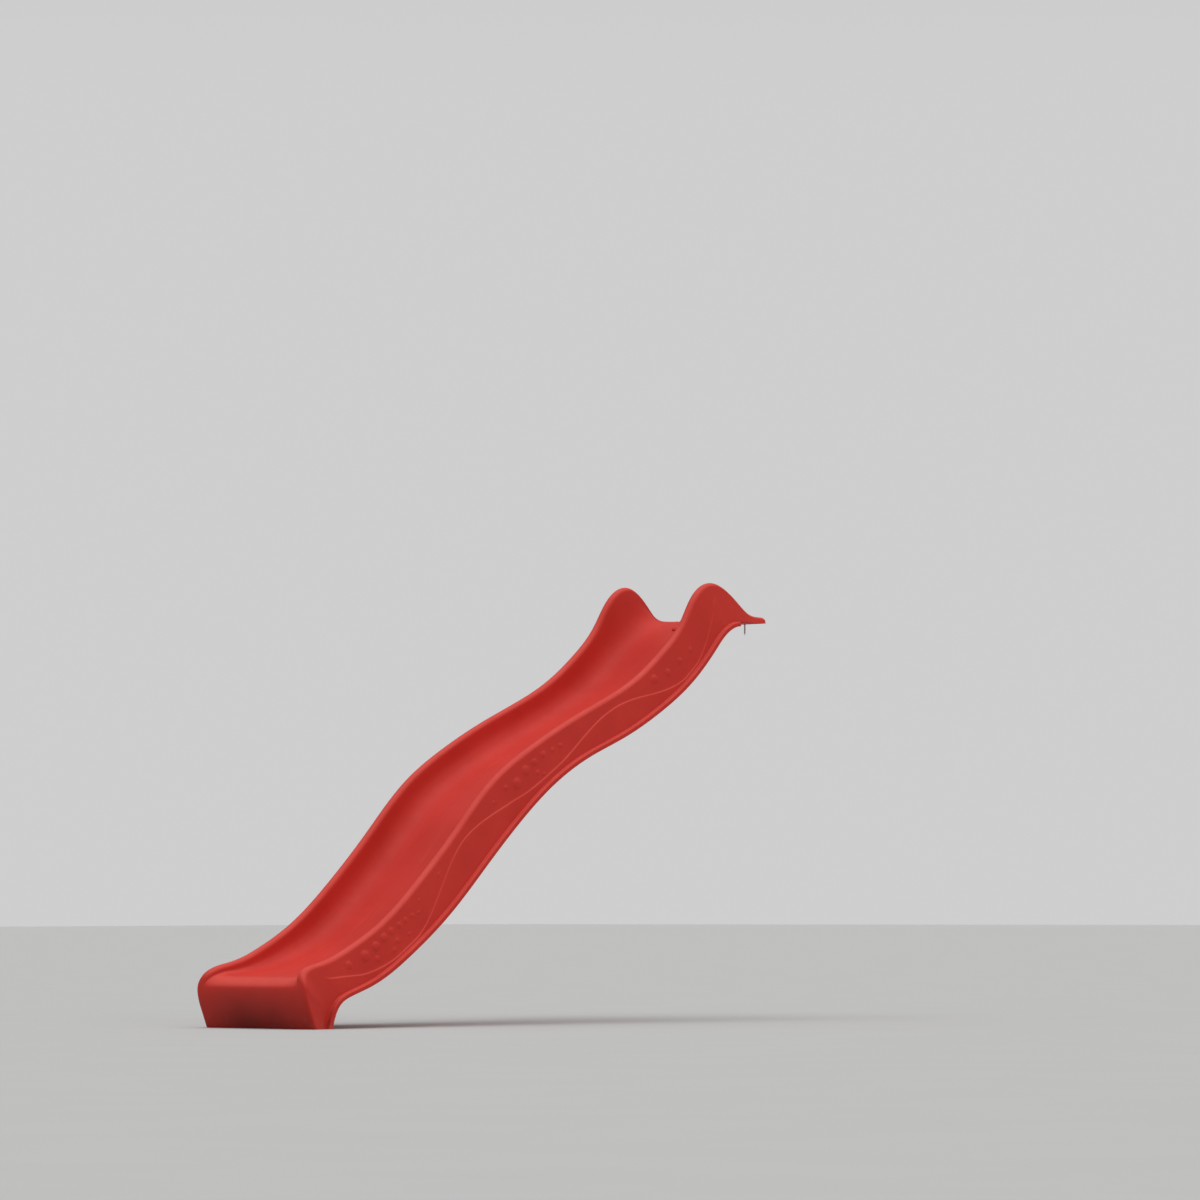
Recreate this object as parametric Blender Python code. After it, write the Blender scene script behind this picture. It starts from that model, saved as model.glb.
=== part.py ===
"""A wave slide for a play tower, in metres with +Z up.

+X runs across the slide and -Y downhill. The origin is at the middle of the lip's underside, where
the lip lies on the deck. The slide is one hollow moulding with an open underside, held by three
screws, with a water fitting at the top of its bed.
"""

import math

import bmesh
import bpy
import numpy as np
from mathutils import Matrix, Vector

# Driving dimensions of the moulding
DECK_HEIGHT = 1.188
DECK_EDGE_Y = -0.045
WALL = 0.004
LIP_THICKNESS = 0.013
RIM_RADIUS = 0.0145
FLANK_FOOT_X = 0.2075
FLANGE_WIDTH = 0.0135
HEM_HEIGHT = 0.013
FLANK_DRAFT = 0.147
FOOT_SPREAD = 0.0135

# The side view, one row for each cross-section from the lip down to the ground. Each row holds three
# points of that section: the crest of the rim, the middle of the bed, and the hem of the flange. A
# point is (run out from the platform's frame, height above the ground). The deck's boards reach out
# to DECK_REACH. The flange's hem passes below them, and the foot's bottom runs on below the ground:
# both are cut off there.
DECK_REACH = 0.045
LIP_TOP = DECK_HEIGHT + LIP_THICKNESS
LIP_CUT = DECK_HEIGHT - 0.014
FOOT_CUT = -0.020
SECTIONS = (
    ((-0.090, LIP_CUT), (-0.090, LIP_CUT), (-0.090, LIP_CUT)),
    ((-0.088, 1.200), (-0.088, 1.200), (-0.088, LIP_CUT)),
    ((-0.084, 1.203), (-0.084, LIP_TOP), (-0.084, LIP_CUT)),
    ((-0.078, 1.206), (-0.078, LIP_TOP), (-0.078, LIP_CUT)),
    ((-0.055, 1.207), (-0.055, LIP_TOP), (-0.055, LIP_CUT)),
    ((-0.015, 1.216), (-0.020, LIP_TOP), (-0.020, LIP_CUT)),
    ((0.045, 1.262), (0.020, 1.199), (0.020, LIP_CUT)),
    ((0.120, 1.302), (0.065, 1.187), (0.062, 1.172)),
    ((0.190, 1.278), (0.115, 1.158), (0.105, 1.151)),
    ((0.255, 1.191), (0.178, 1.107), (0.155, 1.102)),
    ((0.345, 1.098), (0.270, 1.025), (0.245, 1.014)),
    ((0.470, 1.008), (0.415, 0.932), (0.390, 0.915)),
    ((0.600, 0.944), (0.558, 0.862), (0.545, 0.836)),
    ((0.760, 0.875), (0.722, 0.791), (0.708, 0.770)),
    ((0.920, 0.795), (0.868, 0.719), (0.850, 0.693)),
    ((1.060, 0.708), (0.996, 0.642), (0.965, 0.607)),
    ((1.220, 0.556), (1.152, 0.494), (1.125, 0.463)),
    ((1.380, 0.405), (1.315, 0.340), (1.290, 0.311)),
    ((1.520, 0.294), (1.468, 0.229), (1.440, 0.201)),
    ((1.660, 0.219), (1.628, 0.166), (1.590, 0.118)),
    ((1.765, 0.182), (1.749, 0.145), (1.690, 0.083)),
    ((1.827, 0.165), (1.819, 0.139), (1.720, 0.062)),
    ((1.850, 0.142), (1.848, 0.124), (1.732, 0.044)),
    ((1.855, 0.109), (1.855, 0.107), (1.738, 0.030)),
    ((1.841, 0.054), (1.841, 0.054), (1.743, 0.015)),
    ((1.811, FOOT_CUT), (1.811, FOOT_CUT), (1.753, FOOT_CUT)),
)
# The foot widens where its crest falls below FOOT_TOP_HEIGHT, fully once it is FOOT_CORNER_HEIGHT lower
FOOT_TOP_HEIGHT = 0.205
FOOT_CORNER_HEIGHT = 0.095
STATIONS_PER_ROW = 2
LAST_SMOOTH_ROW = len(SECTIONS) - 2
FIRST_SMOOTH_ROW = 4
LIP_CORNER_RADIUS = 0.012
CUTTER_REACH = 0.3
CUTTER_DEPTH = 0.05

# Points along one half of a cross-section. The channel's points crowd towards the middle of the bed,
# and the last two numbers shape it: the smaller they are, the flatter the bed and the steeper its walls.
CHANNEL_STEPS = 8
CHANNEL_CROWDING = 1.6
BED_FLATNESS = 0.37
WALL_STEEPNESS = 0.70
RIM_STEPS = 3
FLANK_STEPS = 2

# Lip fixings
BAR_WIDTH = 0.360
BAR_DEPTH = 0.064
SCREW_SPACING = 0.135
SCREW_Y = 0.022
SCREW_RADIUS = 0.00275
SCREW_LENGTH = 0.050
SCREW_TIP = 0.008
RECESS_RADIUS = 0.0022
HEAD_RADIUS = 0.0058
HEAD_HEIGHT = 0.0034
SCREW_HOLE_RADIUS = 0.0035
SEAT_HEIGHT = LIP_THICKNESS - 0.0002
SEAT_CLEARANCE = 0.0015
WASHER_RADIUS = 0.011
WASHER_THICKNESS = 0.0016
GAP = 0.0003

# Water fitting
NOZZLE_RUN = 0.092
BED_SAG = 0.0012
STEM_RADIUS = 0.0065
STEM_LENGTH = 0.026
STEM_BORE_RADIUS = 0.0035
FLANGE_RADIUS = 0.0135
FLANGE_EDGE = 0.0012
HEAD_RISE = 0.0045
GASKET_RADIUS = 0.0125
GASKET_THICKNESS = 0.0015
NUT_RADIUS = 0.0125
NUT_HEIGHT = 0.007
NUT_CHAMFER = 0.0012
SPRAY_HOLE_RADIUS = 0.0008
SPRAY_HOLE_HEIGHT = 0.0015
SPRAY_SPREAD = 35
SPRAY_TILT = 80
TAIL_RADIUS = 0.0075
TAIL_COLLAR_RADIUS = 0.0115
TAIL_COLLAR_WALL = 0.003
TAIL_BARREL = 0.013
TAIL_NOSE = 0.006
GROOVE_WIDTH = 0.003
GROOVE_DEPTH = 0.0016
O_RING_RADIUS = 0.00115
O_RING_STEPS = 8
SEAL_THICKNESS = 0.0015
TURN_STEPS = 20


def clear_scene():
    for old in list(bpy.data.objects):
        bpy.data.objects.remove(old, do_unlink=True)


def material(name, color, roughness, metallic=0.0):
    made = bpy.data.materials.new(name)
    made.use_nodes = True
    shader = made.node_tree.nodes["Principled BSDF"]
    shader.inputs["Base Color"].default_value = (*color, 1.0)
    shader.inputs["Roughness"].default_value = roughness
    shader.inputs["Metallic"].default_value = metallic
    return made


def add_object(name, mesh, finish=None):
    made = bpy.data.objects.new(name, mesh)
    bpy.context.scene.collection.objects.link(made)
    if finish:
        mesh.materials.append(finish)
    return made


def mesh_of(name, points, faces):
    mesh = bpy.data.meshes.new(name)
    mesh.from_pydata([tuple(p) for p in points], [], faces)
    mesh.update()
    return mesh


def weld(mesh):
    """Points that coincide made one, and all faces turned outward."""
    work = bmesh.new()
    work.from_mesh(mesh)
    bmesh.ops.remove_doubles(work, verts=work.verts, dist=1e-6)
    bmesh.ops.recalc_face_normals(work, faces=work.faces)
    work.to_mesh(mesh)
    work.free()


def clamped_spline(knots, points, first_slope, last_slope, at):
    """Cubic curve through points at knots, with the given end slopes, read at the values in at."""
    count = len(knots)
    steps = np.diff(knots)
    chords = np.diff(points, axis=0) / steps[:, None]
    system = np.eye(count)
    wanted = np.zeros_like(points)
    wanted[0] = first_slope
    wanted[-1] = last_slope
    for i in range(1, count - 1):
        before, after = steps[i - 1], steps[i]
        system[i, i - 1 : i + 2] = after, 2 * (before + after), before
        wanted[i] = 3 * (after * chords[i - 1] + before * chords[i])
    slopes = np.linalg.solve(system, wanted)
    span = np.clip(np.searchsorted(knots, at, side="right") - 1, 0, count - 2)
    width = steps[span][:, None]
    t = ((at - knots[span]) / steps[span])[:, None]
    start, end = points[span], points[span + 1]
    return (
        (2 * t**3 - 3 * t**2 + 1) * start
        + (t**3 - 2 * t**2 + t) * width * slopes[span]
        + (3 * t**2 - 2 * t**3) * end
        + (t**3 - t**2) * width * slopes[span + 1]
    )


def stations(per_row):
    """The rails (crest, bed, hem) at every station, as an array (station, rail, run and height)."""
    rows = np.array(SECTIONS)
    first, last = FIRST_SMOOTH_ROW, LAST_SMOOTH_ROW
    lengths = np.linalg.norm(np.diff(rows, axis=0), axis=2).mean(axis=1)
    knots = np.concatenate([[0.0], np.cumsum(lengths[first:last])])
    at = np.concatenate(
        [
            np.linspace(knots[i], knots[i + 1], per_row, endpoint=False)
            for i in range(last - first)
        ]
        + [knots[-1:]]
    )
    flat = rows.reshape(len(rows), 6)
    curve = clamped_spline(
        knots,
        flat[first : last + 1],
        (flat[first] - flat[first - 1]) / lengths[first - 1],
        (flat[last + 1] - flat[last]) / lengths[last],
        at,
    )
    whole = np.concatenate([flat[:first], curve, flat[last + 1 :]])
    return whole.reshape(-1, 3, 2)


def toward(start, end):
    """Distance and direction from start to end; the direction is zero where the two meet."""
    length = float(np.linalg.norm(end - start))
    return length, (end - start) / length if length > 1e-9 else np.zeros(2)


def half_section(crest, bed, hem):
    """Half a cross-section from the middle of the bed to the hem, as (x, run, height)."""
    depth, to_bed = toward(crest, bed)
    height, to_hem = toward(crest, hem)
    lowered = min(1.0, max(0.0, (FOOT_TOP_HEIGHT - crest[1]) / FOOT_CORNER_HEIGHT))
    skirt = max(0.0, height - HEM_HEIGHT)
    foot = lowered**2 * (3 - 2 * lowered)
    crest_x = FLANK_FOOT_X - RIM_RADIUS - FLANK_DRAFT * skirt * (1 - foot) + FOOT_SPREAD * foot
    inner_round = min(RIM_RADIUS, depth / 2)
    outer_round = min(RIM_RADIUS, skirt / 2)
    points = []
    for i in range(CHANNEL_STEPS + 1):
        turn = math.pi / 2 * (i / CHANNEL_STEPS) ** CHANNEL_CROWDING
        sink = inner_round + (depth - inner_round) * max(0.0, math.cos(turn)) ** WALL_STEEPNESS
        points.append(((crest_x - RIM_RADIUS) * math.sin(turn) ** BED_FLATNESS, crest + to_bed * sink))
    for i in range(1, RIM_STEPS + 1):
        turn = math.pi / 2 * i / RIM_STEPS
        sink = inner_round * (1 - math.sin(turn))
        points.append((crest_x - RIM_RADIUS * math.cos(turn), crest + to_bed * sink))
    for i in range(1, RIM_STEPS + 1):
        turn = math.pi / 2 * i / RIM_STEPS
        drop = outer_round * (1 - math.cos(turn))
        points.append((crest_x + RIM_RADIUS * math.sin(turn), crest + to_hem * drop))
    for i in range(1, FLANK_STEPS + 1):
        part = i / FLANK_STEPS
        drop = outer_round + (skirt - outer_round) * part
        x = crest_x + RIM_RADIUS + (FLANK_FOOT_X - crest_x - RIM_RADIUS) * part
        points.append((x, crest + to_hem * drop))
    to_corner = max(0.0, LIP_CORNER_RADIUS - (crest[0] - SECTIONS[0][0][0]))
    inset = LIP_CORNER_RADIUS - math.sqrt(LIP_CORNER_RADIUS**2 - to_corner**2)
    edge_x = FLANK_FOOT_X + FLANGE_WIDTH
    points.append((edge_x, crest + to_hem * skirt))
    points.append((edge_x, hem))
    return [(x * (1 - inset / FLANK_FOOT_X), point) for x, point in points]


def to_frame(x, point):
    """A point of the side view, at x across, in the slide's own frame."""
    return x, DECK_EDGE_Y - point[0], point[1] - DECK_HEIGHT


def chute_skin():
    """The moulding's outer surface, as an open mesh that faces out."""
    points = []
    rails = stations(STATIONS_PER_ROW)
    for number, (crest, bed, hem) in enumerate(rails):
        half = half_section(crest, bed, hem)
        row = [(-x, point) for x, point in reversed(half[1:])] + half
        for x, point in row:
            points.append(to_frame(x, point))
    across = len(points) // len(rails)
    faces = []
    for i in range(len(rails) - 1):
        for j in range(across - 1):
            corner = i * across + j
            faces.append((corner, corner + across, corner + across + 1, corner + 1))
    mesh = mesh_of("chute", points, faces)
    weld(mesh)
    return mesh


def add_box(name, low, high):
    corners = [(x, y, z) for x in (low[0], high[0]) for y in (low[1], high[1]) for z in (low[2], high[2])]
    faces = [(0, 1, 3, 2), (4, 6, 7, 5), (0, 4, 5, 1), (2, 3, 7, 6), (0, 2, 6, 4), (1, 5, 7, 3)]
    return add_object(name, mesh_of(name, corners, faces))


def turned(name, outline, finish=None, steps=TURN_STEPS):
    """A solid turned about Z from a closed outline of (radius, height), listed anticlockwise."""
    points = []
    for i in range(steps):
        angle = 2 * math.pi * i / steps
        for radius, height in outline:
            points.append((radius * math.cos(angle), radius * math.sin(angle), height))
    size = len(outline)
    faces = []
    for i in range(steps):
        for j in range(size):
            here, there = i * size, (i + 1) % steps * size
            after = (j + 1) % size
            if outline[j][0] > 0 or outline[after][0] > 0:
                faces.append((here + j, there + j, there + after, here + after))
    mesh = mesh_of(name, points, faces)
    weld(mesh)
    return add_object(name, mesh, finish)


def rod(name, radius, low, high):
    return turned(name, [(0, low), (radius, low), (radius, high), (0, high)])


def helper(made):
    made.hide_render = True
    made.display_type = "WIRE"
    return made


def combine(target, other, operation):
    change = target.modifiers.new(other.name, "BOOLEAN")
    change.operation = operation
    change.solver = "MANIFOLD"
    change.object = helper(other)


def smooth(made, angle=35):
    made.data.shade_smooth()
    made.data.set_sharp_from_angle(angle=math.radians(angle))


def nozzle_place():
    """The matrix that puts +Z square to the bed at the water nozzle, on the bed's surface."""
    bed = stations(STATIONS_PER_ROW)[:, 1]
    after = int(np.searchsorted(bed[:, 0], NOZZLE_RUN))
    start, end = bed[after - 1], bed[after]
    part = (NOZZLE_RUN - start[0]) / (end[0] - start[0])
    place = Vector(to_frame(0.0, start + (end - start) * part))
    lean = math.atan2(start[1] - end[1], end[0] - start[0])
    return Matrix.Translation(place) @ Matrix.Rotation(lean, 4, "X")


def screw_places():
    """The name and the place across the lip of each screw."""
    return [("left", -SCREW_SPACING), ("middle", 0), ("right", SCREW_SPACING)]


def build_chute(finish):
    chute = add_object("chute", chute_skin(), finish)
    wall = chute.modifiers.new("wall", "SOLIDIFY")
    wall.thickness = WALL
    wall.offset = -1
    wall.use_even_offset = True
    deck_low = (-CUTTER_REACH, DECK_EDGE_Y - DECK_REACH, -CUTTER_DEPTH)
    deck = add_box("deck_cut", deck_low, (CUTTER_REACH, CUTTER_REACH, 0))
    foot_y = DECK_EDGE_Y - SECTIONS[-1][0][0]
    ground_low = (-CUTTER_REACH, foot_y - CUTTER_REACH, -DECK_HEIGHT - CUTTER_DEPTH)
    ground = add_box("ground_cut", ground_low, (CUTTER_REACH, foot_y + CUTTER_REACH, -DECK_HEIGHT))
    combine(chute, deck, "DIFFERENCE")
    combine(chute, ground, "DIFFERENCE")
    bar_low = (-BAR_WIDTH / 2, -BAR_DEPTH / 2, 0)
    bar = add_box("screw_bar", bar_low, (BAR_WIDTH / 2, BAR_DEPTH / 2, LIP_THICKNESS - WALL / 2))
    combine(chute, bar, "UNION")
    for side, x in screw_places():
        hole = rod(f"screw_hole_{side}", SCREW_HOLE_RADIUS, -CUTTER_DEPTH, CUTTER_DEPTH)
        seat = rod(f"screw_seat_{side}", WASHER_RADIUS + SEAT_CLEARANCE, SEAT_HEIGHT, CUTTER_DEPTH)
        for cutter in (hole, seat):
            cutter.location = (x, SCREW_Y, 0)
            combine(chute, cutter, "DIFFERENCE")
    hole = rod("stem_hole", STEM_RADIUS + GAP, -CUTTER_DEPTH, CUTTER_DEPTH)
    hole.matrix_world = nozzle_place()
    combine(chute, hole, "DIFFERENCE")
    smooth(chute, 40)
    return chute


def build_screw(side, x, steel):
    """A pan-head screw, its head's underside on the washer."""
    outline = [
        (0, -SCREW_LENGTH),
        (SCREW_RADIUS, -SCREW_LENGTH + SCREW_TIP),
        (SCREW_RADIUS, 0),
        (HEAD_RADIUS, 0),
        (HEAD_RADIUS, HEAD_HEIGHT * 0.5),
        (HEAD_RADIUS * 0.85, HEAD_HEIGHT * 0.85),
        (HEAD_RADIUS * 0.5, HEAD_HEIGHT),
        (RECESS_RADIUS, HEAD_HEIGHT),
        (RECESS_RADIUS * 0.9, HEAD_HEIGHT * 0.4),
        (0, HEAD_HEIGHT * 0.4),
    ]
    screw = turned(f"lip_screw_{side}", outline, steel, 12)
    screw.location = (x, SCREW_Y, SEAT_HEIGHT + WASHER_THICKNESS + 2 * GAP)
    smooth(screw)


def ring(name, inner, outer, low, high, finish):
    made = turned(name, [(inner, low), (outer, low), (outer, high), (inner, high)], finish)
    smooth(made)
    return made


def build_lip_fixings(steel):
    for side, x in screw_places():
        inner = SCREW_RADIUS + GAP
        washer = ring(f"lip_washer_{side}", inner, WASHER_RADIUS, 0, WASHER_THICKNESS, steel)
        washer.location = (x, SCREW_Y, SEAT_HEIGHT + GAP)
        build_screw(side, x, steel)


def build_locknut(bore, low, high, plastic):
    """A hexagonal nut with chamfered corners."""
    outline = [
        (0, low),
        (NUT_RADIUS - NUT_CHAMFER, low),
        (NUT_RADIUS, low + NUT_CHAMFER / 2),
        (NUT_RADIUS, high - NUT_CHAMFER / 2),
        (NUT_RADIUS - NUT_CHAMFER, high),
        (0, high),
    ]
    nut = turned("nozzle_locknut", outline, plastic, 6)
    cutter = rod("locknut_bore", bore, low - NUT_HEIGHT, high + NUT_HEIGHT)
    cutter.parent = nut
    combine(nut, cutter, "DIFFERENCE")
    return nut


def build_hose_tail(collar_top, seal_top, plastic, rubber):
    """The connector screwed on the stem, with the seal inside it and the O-ring round its nose."""
    inner = STEM_RADIUS + GAP
    seal_end = seal_top - SEAL_THICKNESS
    groove_top = seal_end - TAIL_BARREL
    groove_end = groove_top - GROOVE_WIDTH
    nose_end = groove_end - TAIL_NOSE
    groove_radius = TAIL_RADIUS - GROOVE_DEPTH
    outline = [
        (STEM_BORE_RADIUS, nose_end),
        (TAIL_RADIUS - 0.001, nose_end),
        (TAIL_RADIUS, nose_end + 0.0015),
        (TAIL_RADIUS, groove_end),
        (groove_radius, groove_end),
        (groove_radius, groove_top),
        (TAIL_RADIUS, groove_top),
        (TAIL_RADIUS, seal_end - TAIL_COLLAR_WALL - 0.001),
        (TAIL_COLLAR_RADIUS, seal_end - TAIL_COLLAR_WALL),
        (TAIL_COLLAR_RADIUS, collar_top),
        (inner, collar_top),
        (inner, seal_end - GAP),
        (STEM_BORE_RADIUS, seal_end - GAP),
    ]
    tail = turned("hose_tail", outline, plastic)
    smooth(tail)
    seal = ring("hose_seal", STEM_BORE_RADIUS + GAP, STEM_RADIUS - GAP, seal_end, seal_top, rubber)
    outline = []
    for i in range(O_RING_STEPS):
        angle = 2 * math.pi * i / O_RING_STEPS
        radius = groove_radius + GAP + O_RING_RADIUS * (1 + math.cos(angle))
        outline.append((radius, (groove_top + groove_end) / 2 + O_RING_RADIUS * math.sin(angle)))
    o_ring = turned("tail_o_ring", outline, rubber)
    smooth(o_ring, 60)
    return tail, seal, o_ring


def build_water_fitting(polyethylene, plastic, rubber):
    """Spray head, seals, nut and hose tail, stacked along the stem that passes through the bed."""
    place = nozzle_place()
    seat = GASKET_THICKNESS + 2 * GAP
    stem_end = seat - STEM_LENGTH
    head = turned(
        "water_nozzle",
        [
            (STEM_BORE_RADIUS, stem_end),
            (STEM_RADIUS, stem_end),
            (STEM_RADIUS, seat),
            (FLANGE_RADIUS, seat),
            (FLANGE_RADIUS, seat + FLANGE_EDGE),
            (FLANGE_RADIUS * 0.88, seat + HEAD_RISE * 0.6),
            (FLANGE_RADIUS * 0.55, seat + HEAD_RISE * 0.9),
            (0, seat + HEAD_RISE),
            (0, seat + HEAD_RISE * 0.6),
            (STEM_BORE_RADIUS, seat + HEAD_RISE * 0.4),
        ],
        polyethylene,
    )
    for number in range(3):
        spray = rod(f"spray_hole_{number + 1}", SPRAY_HOLE_RADIUS, 0, 0.02)
        around = Matrix.Rotation(math.radians(SPRAY_SPREAD * (number - 1)), 4, "Z")
        raised = Matrix.Translation((0, 0, seat + SPRAY_HOLE_HEIGHT))
        tilt = Matrix.Rotation(math.radians(SPRAY_TILT), 4, "X")
        spray.matrix_world = place @ around @ raised @ tilt
        combine(head, spray, "DIFFERENCE")
    head.matrix_world = place
    smooth(head)
    inner = STEM_RADIUS + GAP
    under = -WALL - GAP - BED_SAG
    nut_top = under - GASKET_THICKNESS - GAP
    nut_end = nut_top - NUT_HEIGHT
    stack = (
        ring("nozzle_gasket", inner, GASKET_RADIUS, GAP, GAP + GASKET_THICKNESS, rubber),
        ring("backing_washer", inner, GASKET_RADIUS, under - GASKET_THICKNESS, under, rubber),
        build_locknut(inner, nut_end, nut_top, plastic),
    )
    tail = build_hose_tail(nut_end - GAP, stem_end - GAP, plastic, rubber)
    for piece in (*stack, *tail):
        piece.matrix_world = place


def main():
    clear_scene()
    polyethylene = material("red_polyethylene", (0.50, 0.035, 0.022), 0.42)
    steel = material("zinc_plated_steel", (0.62, 0.62, 0.60), 0.35, 1.0)
    black_plastic = material("black_plastic", (0.02, 0.02, 0.022), 0.5)
    rubber = material("black_rubber", (0.015, 0.015, 0.016), 0.8)
    build_chute(polyethylene)
    build_lip_fixings(steel)
    build_water_fitting(polyethylene, black_plastic, rubber)


main()
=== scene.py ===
"""The looks of the wave slide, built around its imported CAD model.

Everything is in metres in the slide's own frame: +X across, -Y downhill, +Z up. The chute is lofted
again from its cross-sections, finer than in the CAD model and with its rounded edges, the wave
pressed into its flanks and the raised bubbles above it. The fixings and the water fitting are turned
or cut in detail at the places of their CAD nodes.
"""

import math

import bmesh
import bpy
import numpy as np
from mathutils import Matrix, Vector


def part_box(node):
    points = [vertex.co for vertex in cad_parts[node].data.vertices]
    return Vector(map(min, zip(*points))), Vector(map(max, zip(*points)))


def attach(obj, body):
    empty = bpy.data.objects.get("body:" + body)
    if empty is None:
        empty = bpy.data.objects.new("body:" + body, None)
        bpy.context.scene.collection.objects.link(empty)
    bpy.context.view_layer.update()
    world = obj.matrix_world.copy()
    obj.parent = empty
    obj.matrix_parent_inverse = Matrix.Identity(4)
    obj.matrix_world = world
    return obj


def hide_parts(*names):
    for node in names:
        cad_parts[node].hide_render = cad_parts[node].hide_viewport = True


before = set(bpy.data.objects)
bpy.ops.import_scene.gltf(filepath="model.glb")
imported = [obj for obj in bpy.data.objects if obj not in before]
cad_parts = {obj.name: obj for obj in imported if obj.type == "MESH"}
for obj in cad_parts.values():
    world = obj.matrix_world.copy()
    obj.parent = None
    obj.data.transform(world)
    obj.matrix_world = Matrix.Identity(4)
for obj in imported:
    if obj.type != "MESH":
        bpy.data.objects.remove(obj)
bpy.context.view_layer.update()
chute_low, chute_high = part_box("chute")

# The side view of the chute, a row for each cross-section from the lip to the ground. A row holds the
# crest of the rim, the middle of the bed and the hem of the flange, as (run out from the platform's
# frame, height above the ground). The moulding is cut off under the deck and at the ground.
DECK_HEIGHT = -chute_low.z
LIP_THICKNESS = 0.013
LIP_TOP = DECK_HEIGHT + LIP_THICKNESS
LIP_CUT = DECK_HEIGHT - 0.014
FOOT_CUT = -0.020
SECTIONS = (
    ((-0.090, LIP_CUT), (-0.090, LIP_CUT), (-0.090, LIP_CUT)),
    ((-0.088, 1.200), (-0.088, 1.200), (-0.088, LIP_CUT)),
    ((-0.084, 1.203), (-0.084, LIP_TOP), (-0.084, LIP_CUT)),
    ((-0.078, 1.206), (-0.078, LIP_TOP), (-0.078, LIP_CUT)),
    ((-0.055, 1.207), (-0.055, LIP_TOP), (-0.055, LIP_CUT)),
    ((-0.015, 1.216), (-0.020, LIP_TOP), (-0.020, LIP_CUT)),
    ((0.045, 1.262), (0.020, 1.199), (0.020, LIP_CUT)),
    ((0.120, 1.302), (0.065, 1.187), (0.062, 1.172)),
    ((0.190, 1.278), (0.115, 1.158), (0.105, 1.151)),
    ((0.255, 1.191), (0.178, 1.107), (0.155, 1.102)),
    ((0.345, 1.098), (0.270, 1.025), (0.245, 1.014)),
    ((0.470, 1.008), (0.415, 0.932), (0.390, 0.915)),
    ((0.600, 0.944), (0.558, 0.862), (0.545, 0.836)),
    ((0.760, 0.875), (0.722, 0.791), (0.708, 0.770)),
    ((0.920, 0.795), (0.868, 0.719), (0.850, 0.693)),
    ((1.060, 0.708), (0.996, 0.642), (0.965, 0.607)),
    ((1.220, 0.556), (1.152, 0.494), (1.125, 0.463)),
    ((1.380, 0.405), (1.315, 0.340), (1.290, 0.311)),
    ((1.520, 0.294), (1.468, 0.229), (1.440, 0.201)),
    ((1.660, 0.219), (1.628, 0.166), (1.590, 0.118)),
    ((1.765, 0.182), (1.749, 0.145), (1.690, 0.083)),
    ((1.827, 0.165), (1.819, 0.139), (1.720, 0.062)),
    ((1.850, 0.142), (1.848, 0.124), (1.732, 0.044)),
    ((1.855, 0.109), (1.855, 0.107), (1.738, 0.030)),
    ((1.841, 0.054), (1.841, 0.054), (1.743, 0.015)),
    ((1.811, FOOT_CUT), (1.811, FOOT_CUT), (1.753, FOOT_CUT)),
)
FIRST_SMOOTH_ROW = 4
LAST_SMOOTH_ROW = len(SECTIONS) - 2
STATIONS_PER_ROW = 12
DECK_EDGE_Y = chute_high.y + SECTIONS[0][0][0]
DECK_REACH = 0.045
# The foot widens where its crest falls below FOOT_TOP_HEIGHT, fully once it is FOOT_CORNER_HEIGHT lower
FOOT_TOP_HEIGHT = 0.205
FOOT_CORNER_HEIGHT = 0.095

# The cross-section
WALL = 0.004
RIM_RADIUS = 0.0145
FLANK_FOOT_X = 0.2075
FLANGE_WIDTH = 0.0135
HEM_HEIGHT = 0.013
FLANK_DRAFT = 0.147
FOOT_SPREAD = 0.0135
LIP_CORNER_RADIUS = 0.012
CHANNEL_STEPS = 26
CHANNEL_CROWDING = 1.6
BED_FLATNESS = 0.37
WALL_STEEPNESS = 0.70
RIM_STEPS = 7
FLANK_STEPS = 11
LEDGE_FILLET = 0.003
EDGE_ROUND = 0.0045
FILLET_STEPS = 6
# The ledge's fillet and the hem's rounded edge grow in between these runs out from the platform
FILLET_FROM, FILLET_TO = 0.040, 0.075

# The wave along the flank, as (row, share of the flank's height down from the rim). Below it the
# flank stands proud by WAVE_LIFT, and the step is WAVE_STEP wide. It fades in and out at its ends.
WAVE = (
    (7.2, 0.20), (7.6, 0.32), (8.2, 0.60), (8.9, 0.76), (9.5, 0.91), (10.1, 0.94), (10.7, 0.71), (11.2, 0.40),
    (11.75, 0.22), (12.3, 0.27), (12.9, 0.53), (13.5, 0.78), (14.0, 0.83), (14.6, 0.78),
    (15.0, 0.66), (15.5, 0.39), (16.1, 0.17), (16.6, 0.37), (17.1, 0.69), (17.6, 0.91),
    (18.0, 0.95), (18.5, 0.88), (19.0, 0.74), (19.6, 0.51), (20.5, 0.27),
)
WAVE_LIFT = 0.0023
WAVE_STEP = 0.0042
WAVE_INSIDE = 0.014
WAVE_FADE = 0.7
WAVE_END_SLOPES = (0.25, -0.3)
WAVE_STEPS = 6

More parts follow.
